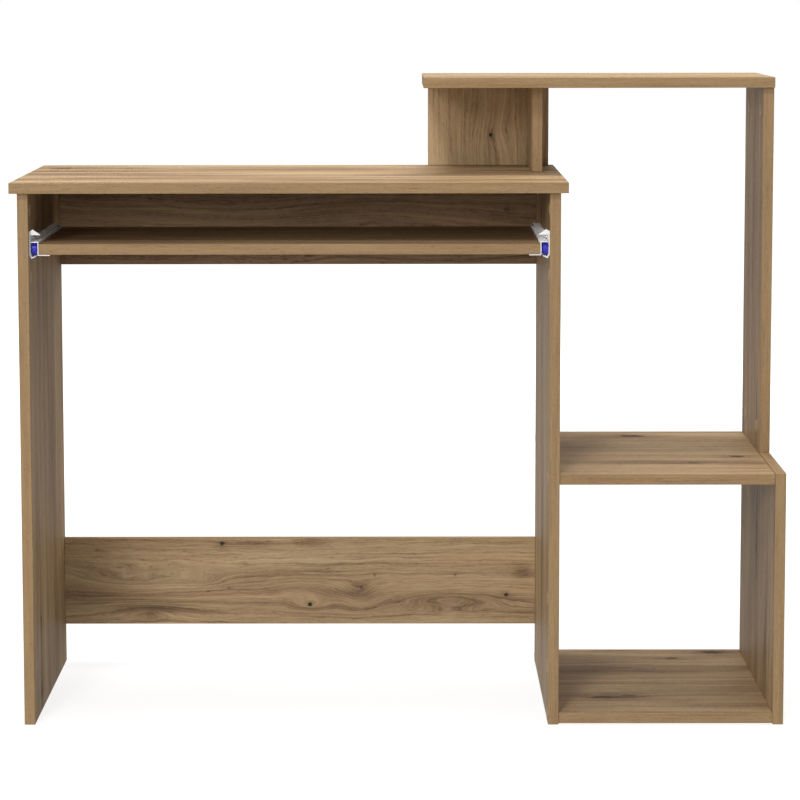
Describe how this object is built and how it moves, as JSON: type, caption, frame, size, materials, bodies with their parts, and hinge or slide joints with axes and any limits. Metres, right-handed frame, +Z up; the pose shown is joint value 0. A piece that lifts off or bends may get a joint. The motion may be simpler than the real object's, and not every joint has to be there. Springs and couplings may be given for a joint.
{
  "type": "computer desk with keyboard tray",
  "caption": "Laminated board computer desk with a sliding keyboard tray on roller slides, a raised hutch shelf and a shelf unit with a tall bay at its right side.",
  "frame": {"origin": "on the floor at the middle of the bounding box", "axes": "+X to the right along the desk towards the side unit, +Y to the back, +Z up"},
  "size_m": [1.075, 0.4, 0.901],
  "materials": {
    "oak_laminate": "satin melamine with printed oak grain",
    "cover_cap": "moulded, matched to the oak",
    "coated_steel": "semi-gloss light epoxy coating",
    "roller_plastic": "moulded, semi-gloss",
    "zinc_steel": "bright zinc plating",
    "cam_zinc": "die-cast zinc, dull",
    "dowel_beech": "bare beech"
  },
  "bodies": {
    "carcass": {"desktop_panel": "oak_laminate", "left_side_panel": "oak_laminate", "right_side_panel": "oak_laminate", "rear_apron": "oak_laminate", "modesty_panel": "oak_laminate", "mid_shelf": "oak_laminate", "lower_shelf": "oak_laminate", "lower_right_side_panel": "oak_laminate", "upper_right_side_panel": "oak_laminate", "hutch_top_panel": "oak_laminate", "hutch_back_panel": "oak_laminate", "hutch_divider": "oak_laminate", "cabinet_rail_left": "coated_steel", "cabinet_rail_right": "coated_steel", "front_left_roller_pin": "zinc_steel", "front_right_roller_pin": "zinc_steel", "left_rail_screws": "zinc_steel", "right_rail_screws": "zinc_steel", "desk_cam_bolts": "zinc_steel", "desk_cam_discs": "cam_zinc", "desk_dowels": "dowel_beech", "shelf_cam_bolts": "zinc_steel", "shelf_cam_discs": "cam_zinc", "shelf_dowels": "dowel_beech", "hutch_cam_bolts": "zinc_steel", "hutch_cam_discs": "cam_zinc", "hutch_dowels": "dowel_beech", "shelf_screws": "zinc_steel", "cover_caps": "cover_cap"},
    "tray": {"keyboard_tray_panel": "oak_laminate", "tray_rail_left": "coated_steel", "tray_rail_right": "coated_steel", "rear_left_roller_pin": "zinc_steel", "rear_right_roller_pin": "zinc_steel", "left_tray_screws": "zinc_steel", "right_tray_screws": "zinc_steel"},
    "front_left_roller": {"front_left_roller": "roller_plastic"},
    "front_right_roller": {"front_right_roller": "roller_plastic"},
    "rear_left_roller": {"rear_left_roller": "roller_plastic"},
    "rear_right_roller": {"rear_right_roller": "roller_plastic"}
  },
  "joints": [
    {"name": "tray_slide", "type": "slide", "parent": "carcass", "child": "tray", "axis": [0, -1, 0], "range_m": [0, 0.21]},
    {"name": "front_left_roller_spin", "type": "hinge", "parent": "carcass", "child": "front_left_roller", "pos_m": [-0.5065, -0.166, 0.6696], "axis": [1, 0, 0], "continuous": true},
    {"name": "front_right_roller_spin", "type": "hinge", "parent": "carcass", "child": "front_right_roller", "pos_m": [0.2015, -0.166, 0.6696], "axis": [1, 0, 0], "continuous": true},
    {"name": "rear_left_roller_spin", "type": "hinge", "parent": "tray", "child": "rear_left_roller", "pos_m": [-0.5057, 0.086, 0.6713], "axis": [1, 0, 0], "continuous": true},
    {"name": "rear_right_roller_spin", "type": "hinge", "parent": "tray", "child": "rear_right_roller", "pos_m": [0.2007, 0.086, 0.6713], "axis": [1, 0, 0], "continuous": true}
  ],
  "couplings": [
    {"joint": "front_left_roller_spin", "follows": "tray_slide", "rad_per_m": 112.36},
    {"joint": "front_right_roller_spin", "follows": "tray_slide", "rad_per_m": 112.36},
    {"joint": "rear_left_roller_spin", "follows": "tray_slide", "rad_per_m": 98.039},
    {"joint": "rear_right_roller_spin", "follows": "tray_slide", "rad_per_m": 98.039}
  ]
}
